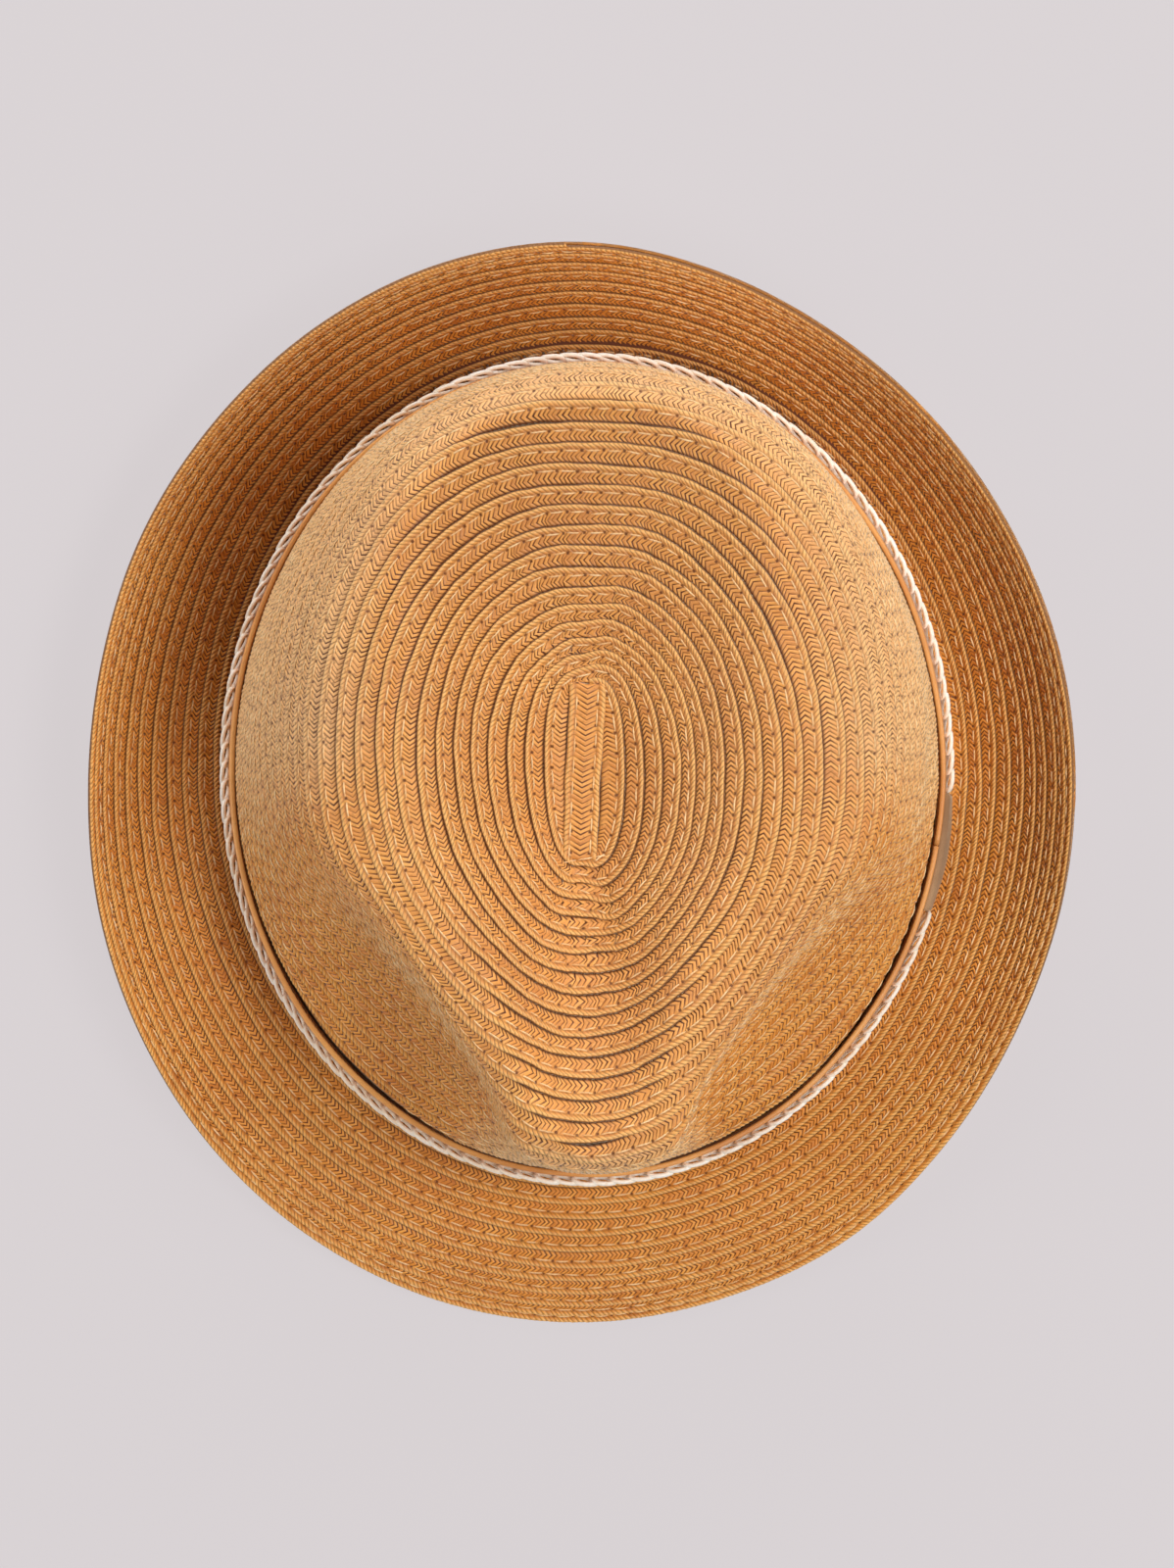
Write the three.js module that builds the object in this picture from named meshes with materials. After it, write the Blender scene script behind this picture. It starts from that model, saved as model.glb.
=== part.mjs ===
// A trilby hat sewn from one straw braid, with a leather band, a looped chain trim and a side patch.
// Millimetres, +Z up, +X the photographed right side, +Y the back. It stands on z = 0.
import * as THREE from 'three';

// Driving dimensions, millimetres and degrees
const strawThickness = 2;
const gap = 0.3;
const stations = 64;
const sectionStep = 15;

// The origin is the middle of the whole hat's plan. The crown stands a little behind the brim's middle.
const brimCentre = { x: 0.28, y: 0.99 };
const crownCentre = { x: brimCentre.x + 1, y: brimCentre.y + 4.3 };

// The crown's foot is an oval, lifted at the front so that the brim can dip there
const mouth = { halfWidth: 87.9, halfLength: 99.9, frontLift: 12, flatShare: 0.6, restZ: 1.05 };
const footRise = 5.5;
const wallTaper = 7.5;

// The strip of braid that the sewing starts round, at the bottom of the dish. Sections fan out from its
// ends and run square to it along its sides.
const startStrip = { halfWidth: 3.5, endY: 17, crowding: 2.2, x: -0.9, y: -1.5, z: 82 };
// The dish rises to a flat rim, whose inner edge is the brow. The rim is widest at the hat's sides.
const dishSide = { outShare: 0.52, riseShare: 0.4, sideRise: 0.08 };
const brow = { inset: 4, sideInset: 6.5, drop: 1.4, sideDrop: -1 };

// The crown's top leans slightly to the right of its foot
const lean = { crest: 0.8, shoulder: 2.2, upper: 1 };

// Crest of the dish and shoulder of the crown, a row for each section from the front (0) to the back (180),
// x and y from the crown's centre. Between 15 and 75 the shoulder runs along the top of the front dent.
const tipSections = [
  { turn: 0, crestX: 0, crestY: -87.7, crestZ: 107, shoulderX: 0, shoulderY: -91, shoulderZ: 101 },
  { turn: 15, crestX: 11, crestY: -81, crestZ: 106, shoulderX: 16, shoulderY: -87, shoulderZ: 100.5 },
  { turn: 30, crestX: 18.5, crestY: -68, crestZ: 104.5, shoulderX: 23.5, shoulderY: -71.5, shoulderZ: 99.5 },
  { turn: 45, crestX: 26, crestY: -52.5, crestZ: 103, shoulderX: 35, shoulderY: -53.5, shoulderZ: 98.5 },
  { turn: 60, crestX: 35, crestY: -38.5, crestZ: 102, shoulderX: 48.5, shoulderY: -35.5, shoulderZ: 96.5 },
  { turn: 75, crestX: 44.5, crestY: -21.5, crestZ: 101.5, shoulderX: 61, shoulderY: -18.5, shoulderZ: 94 },
  { turn: 90, crestX: 48, crestY: 2, crestZ: 101, shoulderX: 64, shoulderY: 2, shoulderZ: 92 },
  { turn: 105, crestX: 47.5, crestY: 24, crestZ: 100.5, shoulderX: 63, shoulderY: 26, shoulderZ: 91.5 },
  { turn: 120, crestX: 45, crestY: 45, crestZ: 100, shoulderX: 57.5, shoulderY: 48.5, shoulderZ: 91 },
  { turn: 135, crestX: 38.5, crestY: 61.5, crestZ: 99.5, shoulderX: 48, shoulderY: 67.5, shoulderZ: 91 },
  { turn: 150, crestX: 28.5, crestY: 74, crestZ: 99, shoulderX: 34, shoulderY: 80.5, shoulderZ: 91 },
  { turn: 165, crestX: 15, crestY: 80.5, crestZ: 98.5, shoulderX: 17.5, shoulderY: 87.3, shoulderZ: 91 },
  { turn: 180, crestX: 0, crestY: 82.5, crestZ: 98, shoulderX: 0, shoulderY: 89.5, shoulderZ: 91 },
];

// The crown's wall at two heights between shoulder and band, hollowed by the front dents at 30 to 60
const upperWallZ = 71;
const lowerWallZ = 52;
const wallSections = [
  { turn: 0, upperX: 0, upperY: -94.2, lowerX: 0, lowerY: -95.6 },
  { turn: 15, upperX: 17.5, upperY: -88.5, lowerX: 21, lowerY: -91.5 },
  { turn: 30, upperX: 26.5, upperY: -73, lowerX: 35, lowerY: -78.5 },
  { turn: 45, upperX: 38.5, upperY: -56, lowerX: 49.5, lowerY: -62 },
  { turn: 60, upperX: 55, upperY: -38.5, lowerX: 66.5, lowerY: -43.5 },
  { turn: 75, upperX: 71, upperY: -21.5, lowerX: 77, lowerY: -23.5 },
  { turn: 90, upperX: 76, upperY: 1, lowerX: 81, lowerY: 0.5 },
  { turn: 105, upperX: 74, upperY: 25.5, lowerX: 78.8, lowerY: 25 },
  { turn: 120, upperX: 66.5, upperY: 48.5, lowerX: 70.7, lowerY: 48.5 },
  { turn: 135, upperX: 54.5, upperY: 68, lowerX: 57.8, lowerY: 68.2 },
  { turn: 150, upperX: 38.8, upperY: 81.8, lowerX: 41, lowerY: 83 },
  { turn: 165, upperX: 20, upperY: 90.5, lowerX: 21.3, lowerY: 92.3 },
  { turn: 180, upperX: 0, upperY: 93.2, lowerX: 0, lowerY: 95.4 },
];

// Reach of the brim from its middle on both sides, and the height of its upper edge
const brimSections = [
  { turn: 0, right: 135.6, left: 135.6, edgeZ: 1.8 },
  { turn: 15, right: 134.2, left: 135, edgeZ: 3 },
  { turn: 30, right: 132.2, left: 132.7, edgeZ: 6.5 },
  { turn: 45, right: 127.7, left: 129.6, edgeZ: 12 },
  { turn: 60, right: 123.6, left: 125.9, edgeZ: 18.5 },
  { turn: 75, right: 121.5, left: 123, edgeZ: 23.5 },
  { turn: 90, right: 120.5, left: 121.1, edgeZ: 26 },
  { turn: 105, right: 120.9, left: 121.6, edgeZ: 26.5 },
  { turn: 120, right: 121.7, left: 124.1, edgeZ: 26 },
  { turn: 135, right: 123.4, left: 126.5, edgeZ: 26 },
  { turn: 150, right: 125.7, left: 129.3, edgeZ: 27 },
  { turn: 165, right: 128.9, left: 131.5, edgeZ: 28.5 },
  { turn: 180, right: 131.9, left: 131.9, edgeZ: 29 },
];
const brimBend = { breakOut: 2.2, breakDrop: 5, innerOut: 6.5, innerShare: 0.02, sag: 3.2 };

// Trim round the crown's foot, as shares of the band's height
const band = { height: 24, thickness: 1.3, jointTurn: 78.75, jointHalfTurn: 0.1 };
const chain = { low: 0.42, high: 0.64, thickness: 1.6 };
const patch = { fromTurn: 69.4, toTurn: 86.3, low: 0.06, high: 0.93, thickness: 1.5, bulge: 0.9 };
const chainEndTurn = 0.35;

const radians = (degrees) => (degrees * Math.PI) / 180;

// A column of a section table at any turn, smooth through the rows, mirrored onto the left side
function columnAt(table, turn, right, left = right, mirror = 1) {
  const last = table.length - 1;
  const rowValue = (k) => {
    const wrapped = ((k % (2 * last)) + 2 * last) % (2 * last);
    return wrapped <= last ? table[wrapped][right] : mirror * table[2 * last - wrapped][left];
  };
  const place = turn / sectionStep;
  const k = Math.floor(place);
  const s = place - k;
  const [before, from, to, after] = [rowValue(k - 1), rowValue(k), rowValue(k + 1), rowValue(k + 2)];
  const slopeFrom = (to - before) / 2;
  const slopeTo = (after - from) / 2;
  return hermite(from, to, slopeFrom, slopeTo, s);
}

function hermite(from, to, slopeFrom, slopeTo, s) {
  const s2 = s * s;
  const s3 = s2 * s;
  return from * (2 * s3 - 3 * s2 + 1) + slopeFrom * (s3 - 2 * s2 + s)
    + to * (3 * s2 - 2 * s3) + slopeTo * (s3 - s2);
}

// A section's point from the crown's centre, from the columns of one name, leaning sideways
function tablePoint(table, turn, name, z, leanX = 0) {
  return new THREE.Vector3(
    crownCentre.x + columnAt(table, turn, name + 'X', name + 'X', -1) + leanX,
    crownCentre.y + columnAt(table, turn, name + 'Y'),
    z,
  );
}

// Height of the brim's break: flat at the back and sides, lifted towards the front
function breakZ(turn) {
  const share = (Math.cos(radians(turn)) + mouth.flatShare) / (1 + mouth.flatShare);
  return mouth.restZ + mouth.frontLift * Math.max(0, share);
}

// The crown's straight foot, from the break up to the top of the band
function ovalPoint(turn, z, out) {
  const a = radians(turn);
  const normal = new THREE.Vector2(Math.sin(a) / mouth.halfWidth, -Math.cos(a) / mouth.halfLength);
  normal.normalize();
  return new THREE.Vector3(
    crownCentre.x + mouth.halfWidth * Math.sin(a) + normal.x * out,
    crownCentre.y - mouth.halfLength * Math.cos(a) + normal.y * out,
    z,
  );
}

function footPoint(turn) {
  return ovalPoint(turn, breakZ(turn) + footRise, 0);
}

function bandTopPoint(turn) {
  const inset = band.height * Math.tan(radians(wallTaper));
  return ovalPoint(turn, breakZ(turn) + footRise + band.height, -inset);
}

function edgePoint(turn) {
  const reach = columnAt(brimSections, turn, 'right', 'left');
  const z = columnAt(brimSections, turn, 'edgeZ');
  const a = radians(turn);
  return new THREE.Vector3(brimCentre.x + reach * Math.sin(a), brimCentre.y - reach * Math.cos(a), z);
}

// The edge of the start strip on the way to a section's crest
function stripPoint(turn, crest) {
  const share = Math.tanh(startStrip.crowding * Math.cos(radians(turn))) / Math.tanh(startStrip.crowding);
  const axis = new THREE.Vector3(
    crownCentre.x + startStrip.x,
    crownCentre.y + startStrip.y - startStrip.endY * share,
    startStrip.z,
  );
  const outward = crest.clone().sub(axis).setZ(0).normalize();
  return axis.addScaledVector(outward, startStrip.halfWidth);
}

// One section of the hat's upper side: key points from the start strip out to the brim's edge
function keyPoints(turn) {
  const crest = tablePoint(tipSections, turn, 'crest', columnAt(tipSections, turn, 'crestZ'), lean.crest);
  const strip = stripPoint(turn, crest);
  const sideways = Math.sin(radians(turn)) ** 2;
  const inward = strip.clone().sub(crest).setZ(0).normalize();
  const rim = crest.clone().addScaledVector(inward, brow.inset + brow.sideInset * sideways);
  rim.z -= brow.drop + brow.sideDrop * sideways;
  const dish = strip.clone().lerp(rim, dishSide.outShare);
  dish.z = strip.z + (rim.z - strip.z) * (dishSide.riseShare + dishSide.sideRise * sideways);
  const shoulderZ = columnAt(tipSections, turn, 'shoulderZ');
  const shoulder = tablePoint(tipSections, turn, 'shoulder', shoulderZ, lean.shoulder);
  const upper = tablePoint(wallSections, turn, 'upper', upperWallZ, lean.upper);
  const lower = tablePoint(wallSections, turn, 'lower', lowerWallZ);
  const edge = edgePoint(turn);
  const breakLine = ovalPoint(turn, breakZ(turn) + footRise - brimBend.breakDrop, brimBend.breakOut);
  const inner = ovalPoint(turn, 0, brimBend.innerOut);
  inner.z = breakZ(turn) + (edge.z - breakZ(turn)) * brimBend.innerShare;
  const middle = inner.clone().lerp(edge, 0.5);
  middle.z -= brimBend.sag * Math.sign(edge.z - inner.z) * Math.min(1, Math.abs(edge.z - inner.z) / 20);
  return [strip, dish, rim, crest, shoulder, upper, lower, bandTopPoint(turn), footPoint(turn),
    breakLine, inner, middle, edge];
}

// Rows of the surface between one key point and the next, from the strip to the brim's edge
const rowsPerSpan = [3, 3, 2, 3, 3, 2, 2, 1, 2, 2, 2, 3];
const straightSpan = 7;

function sectionPoints(turn) {
  const keys = keyPoints(turn);
  const spans = keys.slice(1).map((key, i) => key.distanceTo(keys[i]));
  const slopes = keys.map((key, i) => {
    const before = keys[Math.max(0, i - 1)];
    const after = keys[Math.min(keys.length - 1, i + 1)];
    const length = (i > 0 ? spans[i - 1] : 0) + (i < spans.length ? spans[i] : 0);
    return after.clone().sub(before).divideScalar(length);
  });
  slopes[0].z = 0;
  const points = [keys[0]];
  rowsPerSpan.forEach((rows, i) => {
    for (let row = 1; row <= rows; row++) {
      const s = row / rows;
      const point = new THREE.Vector3();
      for (const axis of ['x', 'y', 'z']) {
        point[axis] = i === straightSpan
          ? keys[i][axis] + (keys[i + 1][axis] - keys[i][axis]) * s
          : hermite(keys[i][axis], keys[i + 1][axis], slopes[i][axis] * spans[i],
            slopes[i + 1][axis] * spans[i], s);
      }
      points.push(point);
    }
  });
  return points;
}

function indexedGeometry(points, triangles) {
  const geometry = new THREE.BufferGeometry();
  geometry.setAttribute('position', new THREE.Float32BufferAttribute(points.flatMap((p) => p.toArray()), 3));
  geometry.setIndex(triangles);
  geometry.computeVertexNormals();
  return geometry;
}

// The upper side as a pole and rings of points, the pole first
function upperSide() {
  const sections = [];
  for (let i = 0; i < stations; i++) {
    sections.push(sectionPoints((360 * i) / stations));
  }
  const pole = new THREE.Vector3(crownCentre.x + startStrip.x, crownCentre.y + startStrip.y, startStrip.z);
  const points = [pole];
  const rings = sections[0].length;
  for (let ring = 0; ring < rings; ring++) {
    sections.forEach((section) => points.push(section[ring]));
  }
  const triangles = [];
  const at = (ring, i) => 1 + ring * stations + (i % stations);
  for (let i = 0; i < stations; i++) {
    triangles.push(0, at(0, i), at(0, i + 1));
    for (let ring = 0; ring < rings - 1; ring++) {
      triangles.push(at(ring, i), at(ring + 1, i), at(ring + 1, i + 1));
      triangles.push(at(ring, i), at(ring + 1, i + 1), at(ring, i + 1));
    }
  }
  return { points, triangles, edgeStart: at(rings - 1, 0) };
}

// Crown and brim: the upper side, the same surface one straw thickness inside it, and the brim's rim
function braidBody() {
  const { points, triangles, edgeStart } = upperSide();
  const normals = indexedGeometry(points, triangles).getAttribute('normal');
  const inside = points.map((point, i) => {
    const normal = new THREE.Vector3().fromBufferAttribute(normals, i);
    const moved = point.clone().addScaledVector(normal, -strawThickness);
    moved.z = Math.max(0, moved.z);
    return moved;
  });
  const count = points.length;
  const all = [...triangles];
  for (let i = 0; i < triangles.length; i += 3) {
    all.push(count + triangles[i], count + triangles[i + 2], count + triangles[i + 1]);
  }
  for (let i = 0; i < stations; i++) {
    const here = edgeStart + i;
    const next = edgeStart + ((i + 1) % stations);
    all.push(here, count + here, count + next);
    all.push(here, count + next, next);
  }
  return indexedGeometry([...points, ...inside], all);
}

// A point over the crown's foot: rise is a share of the band's height, out is the distance off the wall
function overWall(turn, rise, out) {
  const outward = ovalPoint(turn, 0, 1).sub(ovalPoint(turn, 0, 0));
  return footPoint(turn).lerp(bandTopPoint(turn), rise).addScaledVector(outward, out);
}

// A closed plate between two surfaces, over a run of turns and a few rows of height
function plate(turns, rises, insideOut, outsideOut) {
  const across = rises.length;
  const side = turns.length * across;
  const points = [];
  for (const out of [outsideOut, insideOut]) {
    turns.forEach((turn, i) => {
      const along = i / (turns.length - 1);
      rises.forEach((rise, j) => points.push(overWall(turn, rise, out(along, j / (across - 1)))));
    });
  }
  const triangles = [];
  const quad = (a, b, c, d) => triangles.push(a, b, c, a, c, d);
  const at = (i, j) => i * across + j;
  for (let i = 0; i < turns.length - 1; i++) {
    for (let j = 0; j < across - 1; j++) {
      quad(at(i, j + 1), at(i, j), at(i + 1, j), at(i + 1, j + 1));
      quad(side + at(i, j + 1), side + at(i + 1, j + 1), side + at(i + 1, j), side + at(i, j));
    }
    quad(at(i, 0), side + at(i, 0), side + at(i + 1, 0), at(i + 1, 0));
    quad(at(i + 1, across - 1), side + at(i + 1, across - 1), side + at(i, across - 1), at(i, across - 1));
  }
  const end = turns.length - 1;
  for (let j = 0; j < across - 1; j++) {
    quad(at(0, j + 1), side + at(0, j + 1), side + at(0, j), at(0, j));
    quad(at(end, j), side + at(end, j), side + at(end, j + 1), at(end, j + 1));
  }
  return indexedGeometry(points, triangles);
}

// Turns of a run round the crown that keep to the body's own stations between its two ends
function turnsBetween(from, to) {
  const step = 360 / stations;
  const turns = [from];
  for (let k = Math.ceil(from / step + 0.05); k * step < to - 0.05 * step; k++) {
    turns.push(k * step);
  }
  turns.push(to);
  return turns;
}

function hatBand() {
  const turns = turnsBetween(band.jointTurn + band.jointHalfTurn, band.jointTurn + 360 - band.jointHalfTurn);
  return plate(turns, [0, 1], () => gap, () => gap + band.thickness);
}

const overBand = gap + band.thickness + gap;

function chainTrim() {
  const turns = turnsBetween(patch.toTurn + chainEndTurn, patch.fromTurn + 360 - chainEndTurn);
  return plate(turns, [chain.low, chain.high], () => overBand, () => overBand + chain.thickness);
}

function sidePatch() {
  const steps = 10;
  const rows = 4;
  const turns = [];
  const rises = [];
  for (let i = 0; i <= steps; i++) {
    turns.push(patch.fromTurn + ((patch.toTurn - patch.fromTurn) * i) / steps);
  }
  for (let j = 0; j <= rows; j++) {
    rises.push(patch.low + ((patch.high - patch.low) * j) / rows);
  }
  const bulge = (along, up) => patch.bulge * Math.sin(Math.PI * along) * Math.sin(Math.PI * up);
  return plate(turns, rises,
    (along, up) => overBand + bulge(along, up),
    (along, up) => overBand + patch.thickness + bulge(along, up));
}

// Finishes
const straw = new THREE.MeshStandardMaterial({ color: 0xcf9452, roughness: 0.7, metalness: 0 });
const leather = new THREE.MeshStandardMaterial({ color: 0xd59a55, roughness: 0.5, metalness: 0 });
const cord = new THREE.MeshStandardMaterial({ color: 0xf2e6d4, roughness: 0.8, metalness: 0 });
const suede = new THREE.MeshStandardMaterial({ color: 0xa98260, roughness: 0.85, metalness: 0 });

const pieces = [
  ['braid_body', braidBody(), straw],
  ['hat_band', hatBand(), leather],
  ['chain_trim', chainTrim(), cord],
  ['side_patch', sidePatch(), suede],
];

const hat = new THREE.Group();
for (const [name, geometry, material] of pieces) {
  const mesh = new THREE.Mesh(geometry, material);
  mesh.name = name;
  hat.add(mesh);
}

export default hat;
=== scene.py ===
import bpy
import numpy as np
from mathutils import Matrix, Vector


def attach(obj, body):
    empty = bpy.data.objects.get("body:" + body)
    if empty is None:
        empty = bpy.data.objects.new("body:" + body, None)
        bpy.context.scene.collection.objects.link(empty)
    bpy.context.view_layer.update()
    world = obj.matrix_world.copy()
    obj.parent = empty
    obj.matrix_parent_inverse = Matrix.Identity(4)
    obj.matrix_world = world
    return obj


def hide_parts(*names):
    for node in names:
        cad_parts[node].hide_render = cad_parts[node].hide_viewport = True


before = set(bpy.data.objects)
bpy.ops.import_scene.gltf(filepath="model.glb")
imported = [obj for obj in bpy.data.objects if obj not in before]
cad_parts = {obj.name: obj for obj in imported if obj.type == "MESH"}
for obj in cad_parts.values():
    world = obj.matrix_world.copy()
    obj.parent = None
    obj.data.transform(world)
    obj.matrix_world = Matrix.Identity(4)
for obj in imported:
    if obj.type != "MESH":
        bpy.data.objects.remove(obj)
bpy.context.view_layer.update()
mm = 0.001
print("frame loaded")


# the hat's shape: the same sections as the frame, front 0, patch side 90, back 180
hat = {
    "centre": (0.28, 0.99),
    "crown": (1.28, 5.29),
    "halfWidth": 87.9,
    "halfLength": 99.9,
    "frontLift": 12.0,
    "flatShare": 0.6,
    "restZ": 1.05,
    "footRise": 5.5,
    "taper": 7.5,
    "bandHeight": 24.0,
    "stripHalf": 3.5,
    "stripEnd": 17.0,
    "stripCrowding": 2.2,
    "stripAt": (-0.9, -1.5, 82.0),
    "dishOut": 0.52,
    "dishRise": 0.4,
    "dishSideRise": 0.08,
    "rimInset": 4.0,
    "rimSideInset": 6.5,
    "rimDrop": 1.4,
    "rimSideDrop": -1.0,
    "leanCrest": 0.8,
    "leanShoulder": 2.2,
    "leanUpper": 1.0,
    "upperZ": 71.0,
    "lowerZ": 52.0,
    "breakOut": 2.2,
    "breakDrop": 5.0,
    "innerOut": 6.5,
    "innerShare": 0.02,
    "sag": 3.2,
    "sagOver": 20.0,
}

# a row for every 15 degrees: crest x y z, shoulder x y z, upper wall x y, lower wall x y
crownSections = np.array([
    (0, -87.7, 107, 0, -91, 101, 0, -94.2, 0, -95.6),
    (11, -81, 106, 16, -87, 100.5, 17.5, -88.5, 21, -91.5),
    (18.5, -68, 104.5, 23.5, -71.5, 99.5, 26.5, -73, 35, -78.5),
    (26, -52.5, 103, 35, -53.5, 98.5, 38.5, -56, 49.5, -62),
    (35, -38.5, 102, 48.5, -35.5, 96.5, 55, -38.5, 66.5, -43.5),
    (44.5, -21.5, 101.5, 61, -18.5, 94, 71, -21.5, 77, -23.5),
    (48, 2, 101, 64, 2, 92, 76, 1, 81, 0.5),
    (47.5, 24, 100.5, 63, 26, 91.5, 74, 25.5, 78.8, 25),
    (45, 45, 100, 57.5, 48.5, 91, 66.5, 48.5, 70.7, 48.5),
    (38.5, 61.5, 99.5, 48, 67.5, 91, 54.5, 68, 57.8, 68.2),
    (28.5, 74, 99, 34, 80.5, 91, 38.8, 81.8, 41, 83),
    (15, 80.5, 98.5, 17.5, 87.3, 91, 20, 90.5, 21.3, 92.3),
    (0, 82.5, 98, 0, 89.5, 91, 0, 93.2, 0, 95.4),
])
# reach on the right, reach on the left, height of the edge
brimSections = np.array([
    (135.6, 135.6, 1.8), (134.2, 135, 3), (132.2, 132.7, 6.5), (127.7, 129.6, 12), (123.6, 125.9, 18.5),
    (121.5, 123, 23.5), (120.5, 121.1, 26), (120.9, 121.6, 26.5), (121.7, 124.1, 26), (123.4, 126.5, 26),
    (125.7, 129.3, 27), (128.9, 131.5, 28.5), (131.9, 131.9, 29),
])
straightSpan = 7    # from the band's top down to the crown's foot
breakKey = 9


def unit(v):
    return v / np.maximum(1e-9, np.linalg.norm(v, axis=-1, keepdims=True))


def ripple(at, waves):
    # waves added up: size, how fast, start
    return sum(size * np.sin(at * rate + start) for size, rate, start in waves)


def runAlong(points):
    # distance from the first point
    return np.append(0, np.cumsum(np.linalg.norm(np.diff(points, axis=0), axis=1)))


def hermite(start, end, slopeStart, slopeEnd, s):
    s2 = s * s
    s3 = s2 * s
    return (start * (2 * s3 - 3 * s2 + 1) + slopeStart * (s3 - 2 * s2 + s)
            + end * (3 * s2 - 2 * s3) + slopeEnd * (s3 - s2))


def columnAt(right, turn, left=None, mirror=1.0):
    left = right if left is None else left
    ring = np.concatenate([right, mirror * left[-2:0:-1]])
    place = turn / 15.0
    k = np.floor(place).astype(int)
    before, start, end, after = (ring[(k + i) % len(ring)] for i in (-1, 0, 1, 2))
    return hermite(start, end, (end - before) / 2, (after - start) / 2, place - k)


def crownPoint(turn, column, z, lean=0.0):
    x = hat["crown"][0] + columnAt(crownSections[:, column], turn, mirror=-1.0) + lean
    y = hat["crown"][1] + columnAt(crownSections[:, column + 1], turn)
    return np.stack([x, y, z + 0 * x], -1)


def breakZ(turn):
    share = (np.cos(np.radians(turn)) + hat["flatShare"]) / (1 + hat["flatShare"])
    return hat["restZ"] + hat["frontLift"] * np.maximum(0, share)


def ovalPoint(turn, z, out):
    a = np.radians(turn)
    nx = np.sin(a) / hat["halfWidth"]
    ny = -np.cos(a) / hat["halfLength"]
    size = np.hypot(nx, ny)
    x = hat["crown"][0] + hat["halfWidth"] * np.sin(a) + nx / size * out
    y = hat["crown"][1] - hat["halfLength"] * np.cos(a) + ny / size * out
    return np.stack([x, y, z + 0 * x], -1)


def overWall(turn, rise, out):
    # a point over the crown's straight foot: rise is a share of the band's height
    inset = hat["bandHeight"] * np.tan(np.radians(hat["taper"]))
    foot = breakZ(turn) + hat["footRise"]
    return ovalPoint(turn, foot + hat["bandHeight"] * rise, out - inset * rise)


def stripAxis(turn):
    crowding = hat["stripCrowding"]
    share = np.tanh(crowding * np.cos(np.radians(turn))) / np.tanh(crowding)
    x = hat["crown"][0] + hat["stripAt"][0] + 0 * turn
    y = hat["crown"][1] + hat["stripAt"][1] - hat["stripEnd"] * share
    return np.stack([x, y, hat["stripAt"][2] + 0 * turn], -1)


def sectionKeys(turn):
    crest = crownPoint(turn, 0, columnAt(crownSections[:, 2], turn), hat["leanCrest"])
    axis = stripAxis(turn)
    outward = unit((crest - axis) * (1, 1, 0))
    strip = axis + outward * hat["stripHalf"]
    sideways = np.sin(np.radians(turn))[:, None] ** 2
    rim = crest - outward * (hat["rimInset"] + hat["rimSideInset"] * sideways)
    rim[:, 2:] -= hat["rimDrop"] + hat["rimSideDrop"] * sideways
    dish = strip + (rim - strip) * hat["dishOut"]
    dish[:, 2:] = strip[:, 2:] + (rim - strip)[:, 2:] * (hat["dishRise"] + hat["dishSideRise"] * sideways)
    shoulder = crownPoint(turn, 3, columnAt(crownSections[:, 5], turn), hat["leanShoulder"])
    upper = crownPoint(turn, 6, hat["upperZ"], hat["leanUpper"])
    lower = crownPoint(turn, 8, hat["lowerZ"])
    reach = columnAt(brimSections[:, 0], turn, left=brimSections[:, 1])
    a = np.radians(turn)
    edge = np.stack([hat["centre"][0] + reach * np.sin(a), hat["centre"][1] - reach * np.cos(a),
                     columnAt(brimSections[:, 2], turn)], -1)
    lift = breakZ(turn)
    breakLine = ovalPoint(turn, lift + hat["footRise"] - hat["breakDrop"], hat["breakOut"])
    inner = ovalPoint(turn, lift + (edge[:, 2] - lift) * hat["innerShare"], hat["innerOut"])
    middle = (inner + edge) / 2
    fall = edge[:, 2] - inner[:, 2]
    middle[:, 2] -= hat["sag"] * np.sign(fall) * np.minimum(1, np.abs(fall) / hat["sagOver"])
    return np.stack([strip, dish, rim, crest, shoulder, upper, lower, overWall(turn, 1.0, 0.0),
                     overWall(turn, 0.0, 0.0), breakLine, inner, middle, edge])


# the rows: level 0 is the edge of the strip in the middle, 34 the brim's break
rows = {
    "crown": 34.0,
    "brim": 9.36,
    "turnStep": 0.5,
    "levelSteps": 360,
    "sectionSteps": 20,
    "sideCrowding": 0.05,  # how much closer the rows lie beside the strip than far from it
    "endCrowding": 0.235,
    "backCrowding": 0.065,
    "crowdedRows": 3.5,
    "startAt": -75.0,      # degrees of the winding before it passes the patch side
    "lastTurns": 44.747,   # windings to the end of the braid, at the back
    "edgeCrowding": 1.75,  # rows gained by lying closer towards the brim's edge
    "wobble": 0.035,
    "wobbleWaves": ((1, 23.7, 1), (0.7, 41.3, 2.2), (0.5, 71.9, 0), (0.35, 193, 0.6), (0.25, 307, 0)),
    "quietStart": 3.0,     # rows at either end where the wobble dies down
    "quietEnd": 1.5,
    "lookAhead": 0.4,
}
lastLevel = rows["crown"] + rows["brim"]
axisLevel = -0.76
levelStep = (lastLevel - axisLevel) / rows["levelSteps"]
patchSide = 90.0


def crowdedLevel(level, turn):
    # rows lie closer together beside the strip and at its ends than farther out
    ends = np.cos(np.radians(turn))
    share = rows["sideCrowding"] + (rows["endCrowding"] - rows["sideCrowding"]) * ends ** 2
    share -= rows["backCrowding"] * ends ** 3
    return level - share * rows["crowdedRows"] * (1 - np.exp(-level / rows["crowdedRows"]))


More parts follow.
